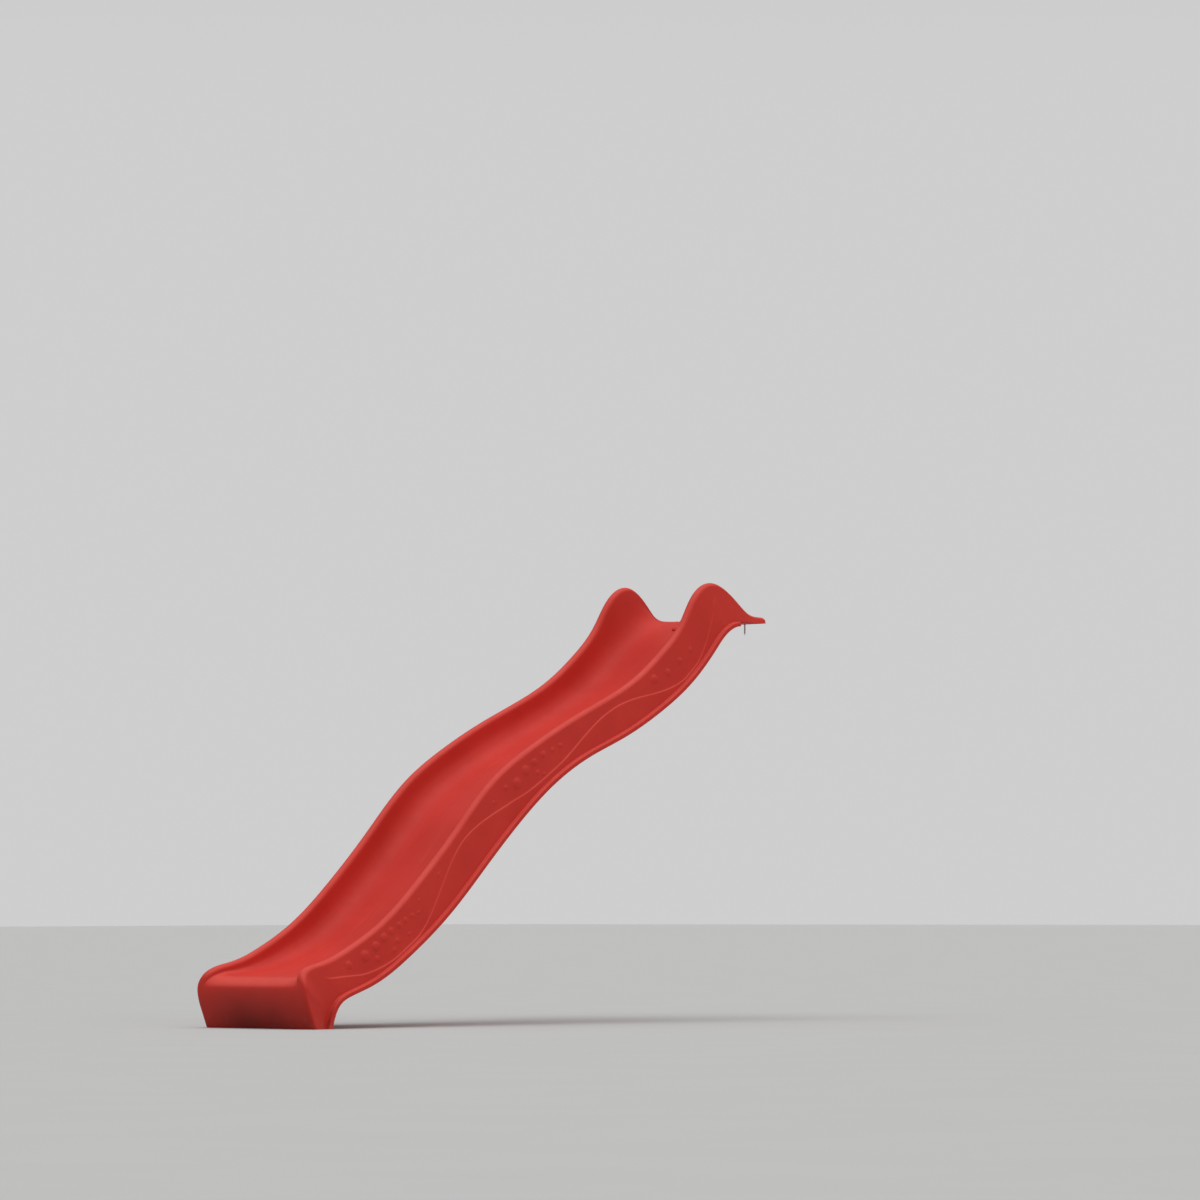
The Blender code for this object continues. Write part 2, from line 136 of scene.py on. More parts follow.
# Raised bubbles on the flank, as (row, share of the flank's height, radius)
BUBBLES = (
    (9.50, 0.50, 0.009), (9.94, 0.45, 0.011), (10.33, 0.42, 0.013), (10.68, 0.26, 0.015),
    (13.44, 0.34, 0.008), (13.64, 0.31, 0.009), (13.86, 0.25, 0.011), (14.12, 0.27, 0.012),
    (14.40, 0.30, 0.017), (14.19, 0.58, 0.008), (14.08, 0.73, 0.006), (14.74, 0.40, 0.018),
    (15.00, 0.26, 0.009), (15.30, 0.26, 0.007),
    (16.68, 0.18, 0.006), (17.20, 0.22, 0.006), (17.36, 0.44, 0.006), (17.48, 0.36, 0.008),
    (17.64, 0.30, 0.009), (17.79, 0.26, 0.010), (17.98, 0.22, 0.012), (18.19, 0.22, 0.014),
    (18.44, 0.27, 0.015), (18.75, 0.31, 0.018), (17.74, 0.68, 0.006), (18.00, 0.57, 0.009),
    (18.17, 0.72, 0.007), (18.56, 0.60, 0.010), (19.25, 0.28, 0.013), (20.00, 0.14, 0.009),
)
BUBBLE_RISE = 0.18
BUBBLE_FULLNESS = 1.3
BUBBLE_SINK = 0.0002
BUBBLE_RINGS = 7
BUBBLE_TURNS = 28

# Lip fixings. The shank's radius is a share of the head's, and the washer's bore one of the shank's
BAR_WIDTH = 0.360
BAR_DEPTH = 0.064
HEAD_HEIGHT = 0.0034
SEAT_CLEARANCE = 0.0015
SEAT_HEIGHT = LIP_THICKNESS - 0.0002
SCREW_HOLE_RADIUS = 0.0035
SCREW_TIP = 0.008
SCREW_PITCH = 0.0022
SHANK_SHARE = 0.474
WASHER_BORE_SHARE = 1.11
WASHER_ROUND = 0.22
RECESS_TURN = 20

# Water fitting
STEM_RADIUS = 0.0065
BORE_RADIUS = STEM_RADIUS * 0.54
SEAL_BORE_RADIUS = STEM_RADIUS * 0.585
BARREL_RADIUS = STEM_RADIUS * 1.154
COLLAR_RADIUS = STEM_RADIUS * 1.769
STEM_PITCH = 0.0015
STEM_THREAD_DEPTH = 0.0007
GROOVE_WIDTH = 0.0030
GROOVE_DEPTH = 0.0016
GAP = 0.0003
GRIP_COUNT = 18
GRIP_RADIUS = 0.0006
HEAD_RISE = 0.0045
SPRAY_SPREADS = (-35, 0, 35)
SPRAY_TILT = 80
SPRAY_RADIUS = 0.0005
SPRAY_REACH = 0.02
# A hexagon's depth between its flats, as a share of its width over its corners
HEXAGON_SHARE = math.sin(math.radians(60))

# Linear colours
RED_DEEP = (0.560, 0.0310, 0.0210, 1)
RED_LIGHT = (0.605, 0.0360, 0.0250, 1)
# Painted shade, darkening the foot's front low down
RED_PAINTED_SHADE = (0.120, 0.0110, 0.0070, 1)
# Both scuff wear on the bed and the painted highlight on the rims' tops and the foot's edge
RED_WEAR_AND_HIGHLIGHT = (0.760, 0.110, 0.085, 1)
DUST = (0.42, 0.33, 0.24, 1)
ZINC = (0.60, 0.61, 0.61, 1)
ZINC_BLOOM = (0.52, 0.50, 0.44, 1)
ZINC_SCRATCHED = (0.30, 0.30, 0.30, 1)
NYLON_DEEP = (0.016, 0.016, 0.018, 1)
NYLON_LIGHT = (0.030, 0.030, 0.032, 1)
NYLON_RUBBED = (0.085, 0.085, 0.085, 1)
RUBBER = (0.013, 0.013, 0.014, 1)
RUBBER_BLOOM = (0.045, 0.045, 0.045, 1)
FLOOR_DEEP = (0.47, 0.47, 0.465, 1)
FLOOR_LIGHT = (0.50, 0.50, 0.495, 1)

# Brightness of the sky, of the panel added overhead, and of the band round the horizon
SKY = 0.14
SKY_TOP = 0.55
SKY_BAND = 0.62
# Sines of the heights between which the band fades out, and the panel fades in
SKY_BAND_SPAN = (0.14, 0.38)
SKY_TOP_SPAN = (0.45, 0.75)

# The suns, as (name, the direction it shines from, strength, apparent width in degrees)
SUNS = (("overhead", (0.05, -0.12, 1.0), 1.50, 60), ("key", (7.0, 2.0, 5.5), 0.33, 35))

FLOOR_REACH = 60
FLOOR_DROP = 0.0005

CUTTER_REACH = 0.3
CUTTER_DEPTH = 0.05
TURN_STEPS = 64
THREAD_POINTS = 8

# The camera: its place, and in degrees the azimuth it looks along (from +Y towards -X), how high it
# stands over what it looks at (a negative elevation looks up) and its roll; lens and sensor in mm
CAMERA_PLACE = (11.3569, -12.5955, -0.8472)
CAMERA_AZIMUTH = 43.134
CAMERA_ELEVATION = -3.123
CAMERA_ROLL = -0.115
CAMERA_LENS = 167.73
CAMERA_SENSOR = 36


# ---------------------------------------------------------------- meshes


def add_object(name, mesh, finish=None):
    made = bpy.data.objects.new(name, mesh)
    bpy.context.scene.collection.objects.link(made)
    if finish:
        mesh.materials.append(finish)
    return made


def mesh_of(name, points, faces):
    mesh = bpy.data.meshes.new(name)
    mesh.from_pydata([tuple(p) for p in points], [], faces)
    mesh.update()
    return mesh


def weld(mesh, distance=1e-6):
    """Points that coincide made one, and all faces turned outward."""
    work = bmesh.new()
    work.from_mesh(mesh)
    bmesh.ops.remove_doubles(work, verts=work.verts, dist=distance)
    bmesh.ops.recalc_face_normals(work, faces=work.faces)
    work.to_mesh(mesh)
    work.free()


def add_box(name, low, high):
    corners = [(x, y, z) for x in (low[0], high[0]) for y in (low[1], high[1]) for z in (low[2], high[2])]
    faces = [(0, 1, 3, 2), (4, 6, 7, 5), (0, 4, 5, 1), (2, 3, 7, 6), (0, 2, 6, 4), (1, 5, 7, 3)]
    return add_object(name, mesh_of(name, corners, faces))


def turned_mesh(name, outline, steps=TURN_STEPS, pitch=1.0):
    """A closed outline of (radius, height), listed anticlockwise, turned about Z.

    A third value at a point is the depth of a thread there, cut with the given pitch."""
    points = []
    for i in range(steps):
        turn = i / steps
        for radius, height, *depth in outline:
            if depth:
                radius -= depth[0] * abs(2 * ((height / pitch - turn) % 1) - 1)
            points.append((radius * math.cos(math.tau * turn), radius * math.sin(math.tau * turn), height))
    size = len(outline)
    faces = []
    for i in range(steps):
        for j in range(size):
            here, there = i * size, (i + 1) % steps * size
            after = (j + 1) % size
            if outline[j][0] > 0 or outline[after][0] > 0:
                faces.append((here + j, there + j, there + after, here + after))
    mesh = mesh_of(name, points, faces)
    weld(mesh)
    return mesh


def threaded(radius, low, high, pitch, depth):
    """Outline points up a threaded length; the thread fades out at its ends."""
    count = round((high - low) / pitch * THREAD_POINTS)
    points = []
    for i in range(count + 1):
        part = i / count
        fade = min(1.0, 8 * part, 8 * (1 - part))
        points.append((radius, low + (high - low) * part, depth * fade))
    return points


def arc(radius, height, size, start, end, steps=5):
    """Outline points on an arc of a given size round (radius, height), from start to end degrees."""
    turns = [math.radians(start + (end - start) * i / steps) for i in range(steps + 1)]
    return [(radius + size * math.cos(turn), height + size * math.sin(turn)) for turn in turns]


def ring_outline(inner, outer, low, high, edge):
    """A flat ring's section, its four edges rounded."""
    return (
        arc(inner + edge, low + edge, edge, 180, 270, 3)
        + arc(outer - edge, low + edge, edge, 270, 360, 3)
        + arc(outer - edge, high - edge, edge, 0, 90, 3)
        + arc(inner + edge, high - edge, edge, 90, 180, 3)
    )


def apply_modifiers(made):
    """The object's evaluated mesh put in place of its mesh and modifiers."""
    graph = bpy.context.evaluated_depsgraph_get()
    graph.update()
    mesh = bpy.data.meshes.new_from_object(made.evaluated_get(graph))
    made.modifiers.clear()
    made.data = mesh


def combine(target, other, operation):
    """A Boolean with another object, applied at once; the other object is then removed."""
    bpy.context.view_layer.update()
    change = target.modifiers.new(other.name, "BOOLEAN")
    change.operation = operation
    change.solver = "MANIFOLD"
    change.object = other
    apply_modifiers(target)
    bpy.data.objects.remove(other)


def smooth(made, angle=35):
    made.data.shade_smooth()
    made.data.set_sharp_from_angle(angle=math.radians(angle))


# ---------------------------------------------------------------- the chute's surface


def clamped_spline(knots, points, first_slope, last_slope, at):
    """Cubic curve through points at knots, with the given end slopes, read at the values in at."""
    count = len(knots)
    steps = np.diff(knots)
    chords = np.diff(points, axis=0) / steps[:, None]
    system = np.eye(count)
    wanted = np.zeros_like(points)
    wanted[0] = first_slope
    wanted[-1] = last_slope
    for i in range(1, count - 1):
        before, after = steps[i - 1], steps[i]
        system[i, i - 1 : i + 2] = after, 2 * (before + after), before
        wanted[i] = 3 * (after * chords[i - 1] + before * chords[i])
    slopes = np.linalg.solve(system, wanted)
    span = np.clip(np.searchsorted(knots, at, side="right") - 1, 0, count - 2)
    width = steps[span][:, None]
    t = ((at - knots[span]) / steps[span])[:, None]
    start, end = points[span], points[span + 1]
    return (
        (2 * t**3 - 3 * t**2 + 1) * start
        + (t**3 - 2 * t**2 + t) * width * slopes[span]
        + (3 * t**2 - 2 * t**3) * end
        + (t**3 - t**2) * width * slopes[span + 1]
    )


def rails_at(rows):
    """The rails (crest, bed, hem) at fractional rows of SECTIONS: (row, rail, run and height)."""
    table = np.array(SECTIONS)
    first, last = FIRST_SMOOTH_ROW, LAST_SMOOTH_ROW
    lengths = np.linalg.norm(np.diff(table, axis=0), axis=2).mean(axis=1)
    knots = np.concatenate([[0.0], np.cumsum(lengths[first:last])])
    flat = table.reshape(len(table), 6)
    rows = np.asarray(rows, float)
    straight = np.stack([np.interp(rows, np.arange(len(flat)), column) for column in flat.T], axis=1)
    curve = clamped_spline(
        knots,
        flat[first : last + 1],
        (flat[first] - flat[first - 1]) / lengths[first - 1],
        (flat[last + 1] - flat[last]) / lengths[last],
        np.interp(rows, np.arange(first, last + 1), knots),
    )
    inside = ((rows >= first) & (rows <= last))[:, None]
    return np.where(inside, curve, straight).reshape(-1, 3, 2)


def toward(start, end):
    """Distance and direction from start to end; the direction is zero where the two meet."""
    length = float(np.linalg.norm(end - start))
    return length, (end - start) / length if length > 1e-9 else np.zeros(2)


def ease(value, low, high):
    """0 below low, 1 above high, and a smooth step between."""
    part = min(1.0, max(0.0, (value - low) / max(high - low, 1e-9)))
    return part * part * (3 - 2 * part)


def wave_at(row):
    """Where the wave's step lies on the flank at this row, and how far the flank stands proud."""
    knots = np.array([place for place, share in WAVE])
    shares = np.array([[share] for place, share in WAVE])
    share = clamped_spline(knots, shares, *WAVE_END_SLOPES, np.clip([row], knots[0], knots[-1]))[0, 0]
    fade = ease(row, knots[0], knots[0] + WAVE_FADE) * ease(-row, -knots[-1], WAVE_FADE - knots[-1])
    return float(share), WAVE_LIFT * fade


def flank_shape(row, skirt, outer_round, straight):
    """Points down the flank as (drop from the crest, how far it stands proud outside and inside)."""
    share, lift = wave_at(row)
    line = min(max(share * (skirt - outer_round), WAVE_STEP), max(straight - WAVE_STEP, straight / 2))
    low, high = max(line - WAVE_STEP / 2, 0), min(line + WAVE_STEP / 2, straight)
    drops = [low * i / FLANK_STEPS for i in range(1, FLANK_STEPS + 1)]
    drops += [low + (high - low) * i / WAVE_STEPS for i in range(1, WAVE_STEPS + 1)]
    drops += [high + (straight - high) * i / FLANK_STEPS for i in range(1, FLANK_STEPS + 1)]
    inside = WAVE_INSIDE / 2
    return [
        (outer_round + drop, lift * ease(drop, low, high), lift * ease(drop, line - inside, line + inside))
        for drop in drops
    ]


def half_section(row, crest, bed, hem):
    """Half a cross-section from the middle of the bed to the hem.

    Each point is (x, (run, height), how far the wall stands proud there outside, and inside)."""
    depth, to_bed = toward(crest, bed)
    height, to_hem = toward(crest, hem)
    lowered = min(1.0, max(0.0, (FOOT_TOP_HEIGHT - crest[1]) / FOOT_CORNER_HEIGHT))
    skirt = max(0.0, height - HEM_HEIGHT)
    foot = lowered**2 * (3 - 2 * lowered)
    crest_x = FLANK_FOOT_X - RIM_RADIUS - FLANK_DRAFT * skirt * (1 - foot) + FOOT_SPREAD * foot
    edge_x = FLANK_FOOT_X + FLANGE_WIDTH
    inner_round = min(RIM_RADIUS, depth / 2)
    outer_round = min(RIM_RADIUS, skirt / 2)
    points = []
    for i in range(CHANNEL_STEPS + 1):
        turn = math.pi / 2 * (i / CHANNEL_STEPS) ** CHANNEL_CROWDING
        sink = inner_round + (depth - inner_round) * max(0.0, math.cos(turn)) ** WALL_STEEPNESS
        points.append(((crest_x - RIM_RADIUS) * math.sin(turn) ** BED_FLATNESS, crest + to_bed * sink))
    for i in range(1, RIM_STEPS + 1):
        turn = math.pi / 2 * i / RIM_STEPS
        sink = inner_round * (1 - math.sin(turn))
        points.append((crest_x - RIM_RADIUS * math.cos(turn), crest + to_bed * sink))
    for i in range(1, RIM_STEPS + 1):
        turn = math.pi / 2 * i / RIM_STEPS
        drop = outer_round * (1 - math.cos(turn))
        points.append((crest_x + RIM_RADIUS * math.sin(turn), crest + to_hem * drop))
    share = ease(crest[0], FILLET_FROM, FILLET_TO)
    fillet, edge_round = LEDGE_FILLET * share, EDGE_ROUND * share
    top_x = crest_x + RIM_RADIUS
    lean = (FLANK_FOOT_X - top_x) / max(skirt - outer_round, 1e-6)
    points = [(x, point, 0.0, 0.0) for x, point in points]
    for drop, outside, inside in flank_shape(row, skirt, outer_round, skirt - outer_round - fillet):
        points.append((top_x + lean * (drop - outer_round), crest + to_hem * drop, outside, inside))
    foot_x, _, outside, inside = points[-1]
    for i in range(1, FILLET_STEPS + 1):
        turn = math.pi / 2 * i / FILLET_STEPS
        x = foot_x + fillet * (1 - math.cos(turn))
        points.append((x, crest + to_hem * (skirt - fillet * (1 - math.sin(turn))), outside, inside))
    for i in range(FILLET_STEPS + 1):
        turn = math.pi / 2 * i / FILLET_STEPS
        x = edge_x - edge_round * (1 - math.sin(turn))
        points.append((x, crest + to_hem * (skirt + edge_round * (1 - math.cos(turn))), 0.0, 0.0))
    points.append((edge_x, crest + to_hem * (skirt + edge_round + height) / 2, 0.0, 0.0))
    points.append((edge_x, hem, 0.0, 0.0))
    to_corner = max(0.0, LIP_CORNER_RADIUS - (crest[0] - SECTIONS[0][0][0]))
    inset = LIP_CORNER_RADIUS - math.sqrt(LIP_CORNER_RADIUS**2 - to_corner**2)
    return [(x * (1 - inset / FLANK_FOOT_X), *rest) for x, *rest in points]


def to_frame(x, point):
    """A point of the side view, at x across, in the slide's own frame."""
    return x, DECK_EDGE_Y - point[0], point[1] - DECK_HEIGHT


def chute_rows():
    """The fractional rows that the chute's stations stand at."""
    smooth_rows = np.arange(FIRST_SMOOTH_ROW * STATIONS_PER_ROW, LAST_SMOOTH_ROW * STATIONS_PER_ROW + 1)
    lip_rows = np.arange(FIRST_SMOOTH_ROW)
    return np.concatenate([lip_rows, smooth_rows / STATIONS_PER_ROW, [LAST_SMOOTH_ROW + 1]])


def chute_skin():
    """The moulding's outer surface without its wave, as an open mesh that faces out.

    How far the wave stands proud, outside and inside, is kept at each of its points."""
    points, outside, inside = [], [], []
    rows = chute_rows()
    for row, (crest, bed, hem) in zip(rows, rails_at(rows)):
        half = half_section(row, crest, bed, hem)
        for side, part in ((-1, reversed(half[1:])), (1, half)):
            for x, point, out, within in part:
                points.append(to_frame(side * x, point))
                outside.append(side * out)
                inside.append(side * within)
    across = len(points) // len(rows)
    faces = []
    for i in range(len(rows) - 1):
        for j in range(across - 1):
            corner = i * across + j
            faces.append((corner, corner + across, corner + across + 1, corner + 1))
    mesh = mesh_of("chute_moulding", points, faces)
    for name, values in (("outside", outside), ("inside", inside)):
        mesh.attributes.new(name, "FLOAT", "POINT").data.foreach_set("value", values)
    weld(mesh)
    return mesh


def raise_wave(mesh, outer_count):
    """The wave pressed into a solidified moulding whose outer surface's points come first."""
    outside = [value.value for value in mesh.attributes["outside"].data]
    inside = [value.value for value in mesh.attributes["inside"].data]
    for i, vertex in enumerate(mesh.vertices):
        vertex.co.x += outside[i] if i < outer_count else inside[i]
    for name in ("outside", "inside"):
        mesh.attributes.remove(mesh.attributes[name])
    mesh.update()


def on_flank(row, share):
    """The point of the flank at +X at this row and share of its height, as a vector."""
    crest, bed, hem = rails_at([row])[0]
    height, to_hem = toward(crest, hem)
    skirt = height - HEM_HEIGHT
    outer_round = min(RIM_RADIUS, skirt / 2)
    drop = outer_round + (skirt - outer_round) * share
    x = FLANK_FOOT_X - FLANK_DRAFT * skirt * (1 - share)
    return Vector(to_frame(x, crest + to_hem * drop))


def bubble(row, share, radius, side):
    """A raised bubble: a low dome that meets the flank at a soft edge, as a closed solid."""
    centre = on_flank(row, share)
    downhill = (on_flank(row + 0.05, share) - on_flank(row - 0.05, share)).normalized()
    down = on_flank(row, share + 0.02) - on_flank(row, share - 0.02)
    outward = down.cross(downhill).normalized()
    if outward.x < 0:
        outward = -outward
    across = outward.cross(downhill)
    outline = [(0, -WALL / 2), (radius, -WALL / 2)]
    for i in range(BUBBLE_RINGS):
        part = 1 - i / BUBBLE_RINGS
        rise = BUBBLE_RISE * radius * math.cos(math.pi / 2 * part**BUBBLE_FULLNESS) - BUBBLE_SINK
        outline.append((radius * part, rise))
    outline.append((0, BUBBLE_RISE * radius - BUBBLE_SINK))
    made = add_object("bubble", turned_mesh("bubble", outline, BUBBLE_TURNS))
    place = Matrix.Translation(centre) @ Matrix((downhill, across, outward)).transposed().to_4x4()
    if side < 0:
        place = Matrix.Scale(-1, 4, (1, 0, 0)) @ place
    made.data.transform(place)
    weld(made.data)
    return made


def join(name, parts):
    """The parts' meshes in one object."""
    work = bmesh.new()
    for part in parts:
        work.from_mesh(part.data)
        bpy.data.objects.remove(part)
    mesh = bpy.data.meshes.new(name)
    work.to_mesh(mesh)
    work.free()
    return add_object(name, mesh)


def build_chute(finish):
    chute = add_object("chute_moulding", chute_skin(), finish)
    outer_count = len(chute.data.vertices)
    wall = chute.modifiers.new("wall", "SOLIDIFY")
    wall.thickness = WALL
    wall.offset = -1
    wall.use_even_offset = True
    apply_modifiers(chute)
    raise_wave(chute.data, outer_count)
    deck_low = (-CUTTER_REACH, DECK_EDGE_Y - DECK_REACH, -CUTTER_DEPTH)
    combine(chute, add_box("deck_cut", deck_low, (CUTTER_REACH, CUTTER_REACH, 0)), "DIFFERENCE")
    foot_y = DECK_EDGE_Y - SECTIONS[-1][0][0]
    ground_low = (-CUTTER_REACH, foot_y - CUTTER_REACH, -DECK_HEIGHT - CUTTER_DEPTH)
    ground_high = (CUTTER_REACH, foot_y + CUTTER_REACH, -DECK_HEIGHT)
    combine(chute, add_box("ground_cut", ground_low, ground_high), "DIFFERENCE")
    bar_low = (-BAR_WIDTH / 2, -BAR_DEPTH / 2, 0)
    bar_high = (BAR_WIDTH / 2, BAR_DEPTH / 2, LIP_THICKNESS - WALL / 2)
    combine(chute, add_box("screw_bar", bar_low, bar_high), "UNION")
    for side in ("left", "middle", "right"):
        washer_low, washer_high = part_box(f"lip_washer_{side}")
        centre = (washer_low + washer_high) / 2
        seat_radius = (washer_high.x - washer_low.x) / 2 + SEAT_CLEARANCE
        for radius, low in ((SCREW_HOLE_RADIUS, -CUTTER_DEPTH), (seat_radius, SEAT_HEIGHT)):
            outline = [(0, low), (radius, low), (radius, CUTTER_DEPTH), (0, CUTTER_DEPTH)]
            cutter = add_object("screw_cut", turned_mesh("screw_cut", outline))
            cutter.data.transform(Matrix.Translation((centre.x, centre.y, 0)))
            combine(chute, cutter, "DIFFERENCE")
    place = fitting_place()
    outline = [(0, -CUTTER_DEPTH), (STEM_RADIUS + GAP, -CUTTER_DEPTH)]
    outline += [(STEM_RADIUS + GAP, CUTTER_DEPTH), (0, CUTTER_DEPTH)]
    cutter = add_object("stem_cut", turned_mesh("stem_cut", outline))
    cutter.data.transform(place)
    combine(chute, cutter, "DIFFERENCE")
    bubbles = [bubble(*facts, side) for side in (1, -1) for facts in BUBBLES]
    combine(chute, join("bubbles", bubbles), "UNION")
    chute.data.materials.clear()
    chute.data.materials.append(finish)
    smooth(chute, 42)
    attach(chute, "root")
    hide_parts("chute")
    return chute


# ---------------------------------------------------------------- fixings and fitting


def middle(node):
    low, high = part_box(node)
    return (low + high) / 2


def width(node):
    low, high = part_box(node)
    return high.x - low.x


def fitting_place():
    """The matrix that puts +Z along the water fitting, with its origin in the middle of its gasket."""
    gasket = middle("nozzle_gasket")
    up = (gasket - middle("tail_o_ring")).normalized()
    across = Vector((1, 0, 0))
    turn = Matrix((across, up.cross(across), up)).transposed().to_4x4()
    return Matrix.Translation(gasket) @ turn


def along_fitting(node, roundness=1.0):
    """Bottom and top of a round piece of the fitting, measured along its axis from its origin.

    Roundness is the piece's depth across the axis as a share of its width."""
    place = fitting_place()
    up = place.col[2].to_3d()
    low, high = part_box(node)
    thick = (high.z - low.z - width(node) * roundness * abs(up.y)) / abs(up.z)
    centre = (middle(node) - place.translation).dot(up)
    return centre - thick / 2, centre + thick / 2


def finished(made, node, place, angle=35):
    """A fitting's mesh put in its place, in place of its CAD node."""
    made.data.transform(place)
    smooth(made, angle)
    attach(made, "root")
    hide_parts(node)
    return made


def place_at(x, y, z):
    return Matrix.Translation((x, y, z))


def build_lip_fixings(finish):
    for side in ("left", "middle", "right"):
        low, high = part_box(f"lip_washer_{side}")
        outer, thick = (high.x - low.x) / 2, high.z - low.z
        screw_low, screw_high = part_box(f"lip_screw_{side}")
        head = (screw_high.x - screw_low.x) / 2
        shank = head * SHANK_SHARE
        outline = ring_outline(shank * WASHER_BORE_SHARE, outer, 0, thick, thick * WASHER_ROUND)
        washer = add_object(f"washer_{side}", turned_mesh("washer", outline), finish)
        centre = (low + high) / 2
        finished(washer, f"lip_washer_{side}", place_at(centre.x, centre.y, low.z))
        build_screw(side, head, shank, finish)


def build_screw(side, head, shank, finish):
    """A pan-head wood screw with a cross recess, a plain neck and a thread down to its point."""
    low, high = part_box(f"lip_screw_{side}")
    under = high.z - HEAD_HEIGHT
    length = under - low.z
    depth = shank * 0.30
    outline = [(0, -length)]
    outline += [(shank * part, -length + SCREW_TIP * part, depth * part) for part in (0.15, 0.4, 0.7)]
    outline += threaded(shank, -length + SCREW_TIP, -length * 0.36, SCREW_PITCH, depth)
    outline += [(shank * 0.9, -length * 0.35), (shank * 0.9, -0.001), (shank, -0.0003), (shank, 0)]
    outline += arc(head - 0.0004, 0.0004, 0.0004, -90, 0, 3)
    outline += arc(head - HEAD_HEIGHT * 0.62, HEAD_HEIGHT * 0.38, HEAD_HEIGHT * 0.62, 0, 70, 6)
    outline += [(0, HEAD_HEIGHT)]
    screw = add_object(f"screw_{side}", turned_mesh("screw", outline, 40, SCREW_PITCH), finish)
    for turn in (0, 90):
        blade = add_box("recess", (-head * 0.5, -0.0006, HEAD_HEIGHT * 0.35), (head * 0.5, 0.0006, 0.01))
        for corner in blade.data.vertices:
            if corner.co.z < HEAD_HEIGHT:
                corner.co.x *= 0.45
        blade.data.transform(Matrix.Rotation(math.radians(turn + RECESS_TURN), 4, "Z"))
        weld(blade.data)
        combine(screw, blade, "DIFFERENCE")
    centre = middle(f"lip_screw_{side}")
    finished(screw, f"lip_screw_{side}", place_at(centre.x, centre.y, under), 30)


def build_nozzle(finish):
    """The low spray head on the bed, with its threaded stem through the wall."""
    flange = width("water_nozzle") / 2
    seat = along_fitting("nozzle_gasket")[1] + GAP
    stem_end = along_fitting("hose_seal")[1] + GAP
    stem, bore = STEM_RADIUS, BORE_RADIUS
    outline = [(bore, stem_end), (stem - 0.0008, stem_end), (stem, stem_end + 0.0008)]
    outline += threaded(stem, stem_end + 0.001, seat - 0.004, STEM_PITCH, STEM_THREAD_DEPTH)
    skirt, foot = width("nozzle_gasket") / 2 + GAP, along_fitting("nozzle_gasket")[0] + 0.0003
    outline += [(stem, seat), (skirt, seat), (skirt, foot)]
    outline += arc(flange - 0.0003, foot + 0.0003, 0.0003, -90, 0, 3)
    outline += arc(flange - 0.0020, seat + 0.0010, 0.0020, 0, 60, 5)
    outline += [(flange * 0.55, seat + HEAD_RISE * 0.9), (flange * 0.3, seat + HEAD_RISE * 0.98)]
    outline += [(0, seat + HEAD_RISE), (0, seat + HEAD_RISE * 0.6), (bore, seat + HEAD_RISE * 0.4)]
    nozzle = add_object("nozzle", turned_mesh("nozzle", outline, TURN_STEPS, STEM_PITCH), finish)
    for spread in SPRAY_SPREADS:
        hole = [(0, 0), (SPRAY_RADIUS, 0), (SPRAY_RADIUS, SPRAY_REACH), (0, SPRAY_REACH)]
        spray = add_object("spray_hole", turned_mesh("spray_hole", hole, 24))
        turn = Matrix.Rotation(math.radians(spread), 4, "Z")
        raised = Matrix.Translation((0, 0, seat + HEAD_RISE / 3))
        spray.data.transform(turn @ raised @ Matrix.Rotation(math.radians(SPRAY_TILT), 4, "X"))
        combine(nozzle, spray, "DIFFERENCE")
    return finished(nozzle, "water_nozzle", fitting_place())


def build_locknut(plastic):
    """A hexagonal nut, its corners chamfered by a cone on both faces."""
    low, high = along_fitting("nozzle_locknut", HEXAGON_SHARE)
    radius = width("nozzle_locknut") / 2
    bore, chamfer = STEM_RADIUS + GAP, radius * 0.1
    prism = [(0, low), (radius, low), (radius, high), (0, high)]
    nut = add_object("locknut", turned_mesh("locknut", prism, 6), plastic)
    body = [(bore + 0.0006, low), (radius - chamfer, low), (radius + 0.0002, low + chamfer * 0.6)]
    body += [(radius + 0.0002, high - chamfer * 0.6), (radius - chamfer, high), (bore + 0.0006, high)]
    body += [(bore, high - 0.0006), (bore, low + 0.0006)]
    combine(nut, add_object("nut_body", turned_mesh("nut_body", body)), "INTERSECT")
    return finished(nut, "nozzle_locknut", fitting_place(), 20)


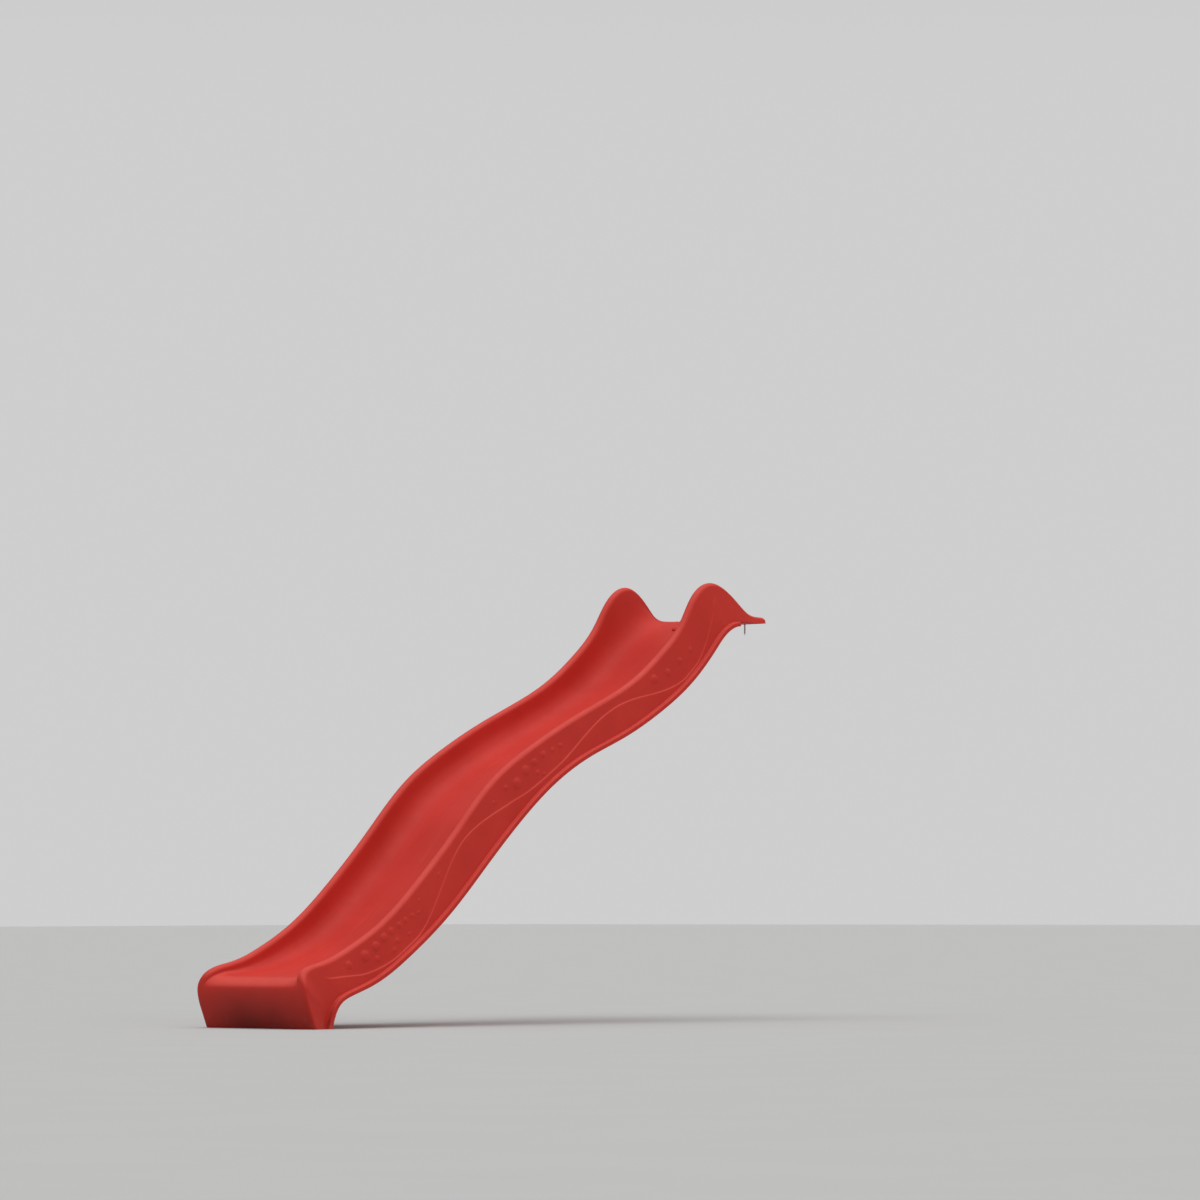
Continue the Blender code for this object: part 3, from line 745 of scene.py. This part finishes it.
def build_hose_tail(plastic):
    """The hose connector: a collar with grips, and a barrel with a groove for its O-ring."""
    collar, barrel, bore = COLLAR_RADIUS, BARREL_RADIUS, BORE_RADIUS
    top = along_fitting("nozzle_locknut", HEXAGON_SHARE)[0] - GAP
    seal_end = along_fitting("hose_seal")[0] - GAP
    groove = (middle("tail_o_ring") - fitting_place().translation).dot(fitting_place().col[2].to_3d())
    half, floor = GROOVE_WIDTH / 2, barrel - GROOVE_DEPTH
    nose = groove - half - 0.006
    outline = [(bore, nose)]
    outline += arc(barrel - 0.0012, nose + 0.0012, 0.0012, -90, 0, 4)
    outline += [(barrel, groove - half), (floor, groove - half), (floor, groove + half)]
    outline += [(barrel, groove + half), (barrel, seal_end - 0.005)]
    outline += arc(barrel + 0.001, seal_end - 0.005, 0.001, 180, 90, 3)
    outline += arc(collar - 0.0008, seal_end - 0.0032, 0.0008, -90, 0, 3)
    outline += arc(collar - 0.0008, top - 0.0008, 0.0008, 0, 90, 3)
    outline += [(STEM_RADIUS + GAP, top), (STEM_RADIUS + GAP, seal_end), (bore, seal_end)]
    tail = add_object("hose_tail", turned_mesh("hose_tail", outline), plastic)
    grips = []
    for i in range(GRIP_COUNT):
        low, high = seal_end - 0.01, top - 0.0025
        grip = [(0, low), (GRIP_RADIUS, low), (GRIP_RADIUS, high), (0, high)]
        cutter = add_object("grip", turned_mesh("grip", grip, 12))
        around = Matrix.Rotation(math.tau * i / GRIP_COUNT, 4, "Z")
        cutter.data.transform(around @ Matrix.Translation((collar + 0.0001, 0, 0)))
        grips.append(cutter)
    combine(tail, join("grips", grips), "DIFFERENCE")
    return finished(tail, "hose_tail", fitting_place(), 30)


def build_seals(rubber):
    place = fitting_place()
    for node in ("nozzle_gasket", "backing_washer", "hose_seal"):
        low, high = along_fitting(node)
        inner = SEAL_BORE_RADIUS if node == "hose_seal" else STEM_RADIUS + GAP
        outline = ring_outline(inner, width(node) / 2, low, high, (high - low) * 0.28)
        made = add_object(node.replace("_", "-"), turned_mesh(node, outline), rubber)
        finished(made, node, place)
    o_ring = along_fitting("tail_o_ring")
    size = (o_ring[1] - o_ring[0]) / 2
    outline = arc(width("tail_o_ring") / 2 - size, sum(o_ring) / 2, size, 0, 345, 23)
    made = add_object("o-ring", turned_mesh("o-ring", outline), rubber)
    finished(made, "tail_o_ring", place, 80)


# ---------------------------------------------------------------- materials


def new_material(name):
    made = bpy.data.materials.new(name)
    made.use_nodes = True
    return made, Nodes(made.node_tree)


class Nodes:
    """Short ways to make and join the nodes of one material."""

    def __init__(self, tree):
        self.tree = tree
        self.shader = tree.nodes["Principled BSDF"]
        self.coords = tree.nodes.new("ShaderNodeTexCoord").outputs["Object"]

    def node(self, kind, **inputs):
        made = self.tree.nodes.new(f"ShaderNode{kind}")
        for name, value in inputs.items():
            self.put(made.inputs[name.replace("_", " ")], value)
        return made

    def put(self, socket, value):
        if isinstance(value, bpy.types.NodeSocket):
            self.tree.links.new(value, socket)
        else:
            socket.default_value = value

    def noise(self, scale, detail=3.0, stretch=(1, 1, 1)):
        """Noise at a scale per metre, from 0 to 1, drawn out along the axes where stretch is small."""
        mapping = self.node("Mapping", Vector=self.coords, Scale=stretch)
        made = self.node("TexNoise", Vector=mapping.outputs[0], Scale=scale, Detail=detail)
        return made.outputs["Fac"]

    def ramp(self, value, low, high, to_low, to_high):
        """The value's part from low to high, spread smoothly over to_low to to_high."""
        made = self.node("MapRange", Value=value)
        made.interpolation_type = "SMOOTHSTEP"
        for name, number in (("From Min", low), ("From Max", high), ("To Min", to_low), ("To Max", to_high)):
            self.put(made.inputs[name], number)
        return made.outputs["Result"]

    def math(self, operation, first, second):
        made = self.tree.nodes.new("ShaderNodeMath")
        made.operation = operation
        self.put(made.inputs[0], first)
        self.put(made.inputs[1], second)
        return made.outputs[0]

    def mix(self, share, first, second):
        made = self.tree.nodes.new("ShaderNodeMix")
        made.data_type = "RGBA"
        self.put(made.inputs["Factor"], share)
        self.put(made.inputs[6], first)
        self.put(made.inputs[7], second)
        return made.outputs[2]

    def bumps(self, *layers):
        """Bump nodes one on another; each layer is (height, strength, distance in metres)."""
        normal = None
        for height, strength, distance in layers:
            made = self.node("Bump", Height=height, Strength=strength, Distance=distance)
            if normal:
                self.put(made.inputs["Normal"], normal)
            normal = made.outputs[0]
        self.put(self.shader.inputs["Normal"], normal)


def red_polyethylene():
    """Moulded polyethylene, satin, with a fine grain.

    It is scuffed along the bed and dusty at the ground, with painted highlight on the rims' tops and
    the foot's edge and painted shade on the foot's front."""
    made, nodes = new_material("red_polyethylene")
    parts = nodes.node("SeparateXYZ", Vector=nodes.coords)
    sideways = nodes.math("ABSOLUTE", parts.outputs["X"], 0)
    surface = nodes.tree.nodes.new("ShaderNodeNewGeometry")
    facing = nodes.node("SeparateXYZ", Vector=surface.outputs["Normal"])
    color = nodes.mix(nodes.ramp(nodes.noise(7, 4), 0.3, 0.7, 0, 1), RED_DEEP, RED_LIGHT)
    # Scuffs drawn out down the middle of the bed, where it faces up
    up = nodes.ramp(facing.outputs["Z"], 0.45, 0.8, 0, 1)
    scuffs = nodes.ramp(nodes.noise(60, 4, (1, 0.05, 0.05)), 0.56, 0.74, 0, 1)
    inside = nodes.ramp(sideways, 0.09, 0.15, 1, 0)
    worn = nodes.math("MULTIPLY", nodes.math("MULTIPLY", scuffs, up), inside)
    color = nodes.mix(nodes.math("MULTIPLY", worn, 0.10), color, RED_WEAR_AND_HIGHLIGHT)
    # Painted highlight: the up-facing tops of the rims and the foot's edge made paler
    rims = nodes.ramp(sideways, 0.150, 0.166, 0, 1)
    edge = nodes.ramp(parts.outputs["Y"], chute_low.y + 0.07, chute_low.y + 0.03, 0, 1)
    crown = nodes.ramp(facing.outputs["Z"], 0.15, 0.60, 0, 1)
    painted_highlight = nodes.math("MULTIPLY", nodes.math("MAXIMUM", rims, edge), crown)
    painted_highlight = nodes.math("MULTIPLY", painted_highlight, nodes.ramp(nodes.noise(18, 4), 0.3, 0.7, 0.28, 0.38))
    color = nodes.mix(painted_highlight, color, RED_WEAR_AND_HIGHLIGHT)
    # Dust close to the ground
    low = nodes.ramp(parts.outputs["Z"], chute_low.z, chute_low.z + 0.05, 1, 0)
    dust = nodes.math("MULTIPLY", low, nodes.ramp(nodes.noise(38, 5), 0.42, 0.75, 0, 0.14))
    color = nodes.mix(dust, color, DUST)
    # Painted shade on the foot's front, darkest low in the middle
    painted_shade = nodes.ramp(parts.outputs["Z"], chute_low.z, chute_low.z + 0.14, 0.80, 0.05)
    painted_shade = nodes.math("MULTIPLY", painted_shade, nodes.ramp(sideways, 0.05, 0.20, 1, 0.45))
    forward = nodes.ramp(facing.outputs["Y"], -0.75, -0.35, 1, 0)
    forward = nodes.math("MULTIPLY", forward, nodes.ramp(nodes.noise(9, 4), 0.3, 0.7, 0.85, 1))
    color = nodes.mix(nodes.math("MULTIPLY", painted_shade, forward), color, RED_PAINTED_SHADE)
    nodes.put(nodes.shader.inputs["Base Color"], color)
    rough = nodes.ramp(nodes.noise(22, 5), 0.25, 0.75, 0.50, 0.58)
    rough = nodes.math("SUBTRACT", rough, nodes.math("MULTIPLY", worn, 0.06))
    nodes.put(nodes.shader.inputs["Roughness"], nodes.math("ADD", rough, nodes.math("MULTIPLY", dust, 0.5)))
    nodes.shader.inputs["Specular IOR Level"].default_value = 0.17
    nodes.bumps((nodes.noise(14, 2), 0.12, 0.004), (nodes.noise(700, 3), 0.05, 0.0003))
    return made


def zinc_plated_steel():
    """Bright plating with a faint yellow bloom and fine darker scratches."""
    made, nodes = new_material("zinc_plated_steel")
    bloom = nodes.ramp(nodes.noise(260, 4), 0.35, 0.7, 0, 1)
    color = nodes.mix(bloom, ZINC, ZINC_BLOOM)
    scratches = nodes.noise(900, 3, (1, 1, 0.06))
    color = nodes.mix(nodes.ramp(scratches, 0.55, 0.75, 0, 0.35), color, ZINC_SCRATCHED)
    nodes.put(nodes.shader.inputs["Base Color"], color)
    nodes.shader.inputs["Metallic"].default_value = 0.95
    nodes.put(nodes.shader.inputs["Roughness"], nodes.ramp(nodes.noise(500, 4), 0.3, 0.7, 0.26, 0.42))
    nodes.bumps((scratches, 0.15, 0.0002))
    return made


def black_plastic():
    """Moulded nylon, with a soft grain and paler rubbed edges."""
    made, nodes = new_material("black_plastic")
    color = nodes.mix(nodes.noise(120, 3), NYLON_DEEP, NYLON_LIGHT)
    surface = nodes.tree.nodes.new("ShaderNodeNewGeometry")
    edges = nodes.ramp(surface.outputs["Pointiness"], 0.53, 0.64, 0, 0.5)
    color = nodes.mix(edges, color, NYLON_RUBBED)
    nodes.put(nodes.shader.inputs["Base Color"], color)
    nodes.put(nodes.shader.inputs["Roughness"], nodes.ramp(nodes.noise(300, 4), 0.3, 0.7, 0.42, 0.56))
    nodes.bumps((nodes.noise(2500, 2), 0.12, 0.0001))
    return made


def black_rubber():
    """Dull rubber with a pale bloom."""
    made, nodes = new_material("black_rubber")
    bloom = nodes.ramp(nodes.noise(400, 4), 0.45, 0.75, 0, 0.6)
    color = nodes.mix(bloom, RUBBER, RUBBER_BLOOM)
    nodes.put(nodes.shader.inputs["Base Color"], color)
    nodes.put(nodes.shader.inputs["Roughness"], nodes.ramp(nodes.noise(350, 3), 0.3, 0.7, 0.72, 0.88))
    nodes.bumps((nodes.noise(1800, 3), 0.25, 0.0001))
    return made


# ---------------------------------------------------------------- stage


def build_stage():
    made, nodes = new_material("floor_paint")
    tone = nodes.mix(nodes.noise(3, 3), FLOOR_DEEP, FLOOR_LIGHT)
    nodes.put(nodes.shader.inputs["Base Color"], tone)
    nodes.shader.inputs["Roughness"].default_value = 0.9
    reach = FLOOR_REACH
    corners = [(-reach, -reach, 0), (reach, -reach, 0), (reach, reach, 0), (-reach, reach, 0)]
    floor = add_object("floor", mesh_of("floor", corners, [(0, 1, 2, 3)]), made)
    floor.location = (0, 0, chute_low.z - FLOOR_DROP)


def soft_sun(name, direction, strength, spread):
    """A far, soft light from a direction; spread is its apparent width in degrees."""
    data = bpy.data.lights.new(name, "SUN")
    data.energy = strength
    data.angle = math.radians(spread)
    light = bpy.data.objects.new(name, data)
    bpy.context.scene.collection.objects.link(light)
    light.rotation_euler = Vector(direction).to_track_quat("Z", "Y").to_euler()


def build_world():
    """A studio sky: a pale band round the horizon and a wide soft panel overhead, dimmer between."""
    world = bpy.data.worlds.new("studio")
    bpy.context.scene.world = world
    world.use_nodes = True
    tree = world.node_tree
    coords = tree.nodes.new("ShaderNodeTexCoord").outputs["Generated"]
    parts = tree.nodes.new("ShaderNodeSeparateXYZ")
    tree.links.new(coords, parts.inputs[0])
    height = tree.nodes.new("ShaderNodeMath")
    height.operation = "ABSOLUTE"
    tree.links.new(parts.outputs["Z"], height.inputs[0])
    both = tree.nodes.new("ShaderNodeMath")
    band = (height.outputs[0], *SKY_BAND_SPAN, SKY_BAND, SKY)
    panel = (parts.outputs["Z"], *SKY_TOP_SPAN, 0.0, SKY_TOP)
    for slot, (value, *span) in enumerate((band, panel)):
        ramp = tree.nodes.new("ShaderNodeMapRange")
        ramp.interpolation_type = "SMOOTHSTEP"
        tree.links.new(value, ramp.inputs["Value"])
        for name, limit in zip(("From Min", "From Max", "To Min", "To Max"), span):
            ramp.inputs[name].default_value = limit
        tree.links.new(ramp.outputs["Result"], both.inputs[slot])
    tree.links.new(both.outputs[0], tree.nodes["Background"].inputs["Strength"])
    tree.nodes["Background"].inputs["Color"].default_value = (1, 1, 1, 1)


def build_lights():
    for name, direction, strength, spread in SUNS:
        soft_sun(name, direction, strength, spread)


def build_camera():
    azimuth, elevation = math.radians(CAMERA_AZIMUTH), math.radians(CAMERA_ELEVATION)
    back = Vector((math.sin(azimuth), -math.cos(azimuth), 0)) * math.cos(elevation)
    back.z = math.sin(elevation)
    right = Vector((math.cos(azimuth), math.sin(azimuth), 0))
    up = back.cross(right)
    roll = math.radians(CAMERA_ROLL)
    rolled_right = right * math.cos(roll) + up * math.sin(roll)
    rolled_up = up * math.cos(roll) - right * math.sin(roll)
    data = bpy.data.cameras.new("camera")
    data.lens = CAMERA_LENS
    data.sensor_width = CAMERA_SENSOR
    data.clip_end = 200
    camera = bpy.data.objects.new("camera", data)
    bpy.context.scene.collection.objects.link(camera)
    turn = Matrix((rolled_right, rolled_up, back)).transposed().to_4x4()
    camera.matrix_world = Matrix.Translation(CAMERA_PLACE) @ turn
    bpy.context.scene.camera = camera


def main():
    bpy.context.scene.view_settings.view_transform = "Standard"
    plastic, rubber = black_plastic(), black_rubber()
    polyethylene = red_polyethylene()
    build_chute(polyethylene)
    build_lip_fixings(zinc_plated_steel())
    build_nozzle(polyethylene)
    build_locknut(plastic)
    build_hose_tail(plastic)
    build_seals(rubber)
    build_stage()
    build_world()
    build_lights()
    build_camera()


main()
